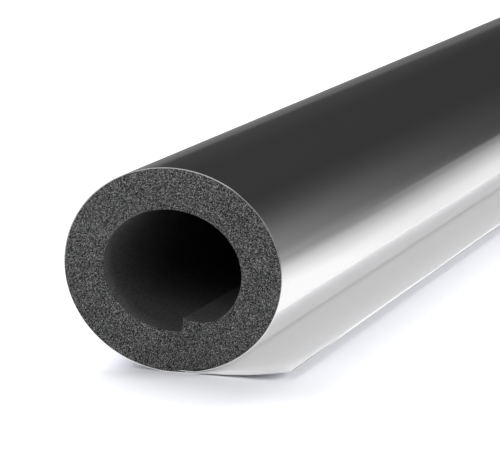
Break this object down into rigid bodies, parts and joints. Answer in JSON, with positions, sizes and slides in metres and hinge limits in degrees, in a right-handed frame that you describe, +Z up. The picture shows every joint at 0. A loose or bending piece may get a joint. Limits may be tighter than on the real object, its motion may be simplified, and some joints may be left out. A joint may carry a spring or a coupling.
{
  "type": "pipe insulation lagging",
  "caption": "Pre-slit foam pipe lagging with a foil jacket and a self-seal overlap flap along the slit, lying on its slit.",
  "frame": {"origin": "on the floor, on the jacket's flat underside, straight below the middle of the bore and halfway along the tube", "axes": "+Z up, +Y along the tube away from the end that the picture shows, +X towards the flap's free edge"},
  "size_m": [0.1092, 1, 0.0933],
  "materials": {
    "foam": "matt closed-cell foam, charcoal grey, with paler cut cells on the end faces and a smooth skin in the bore",
    "foil": "bright aluminium foil laminate with fine lengthwise rolling lines",
    "liner": "pale grey silicone-coated release paper, satin"
  },
  "bodies": {
    "root": {"foam_tube": "foam", "foil_jacket": "foil", "release_liner": "liner"}
  },
  "joints": []
}
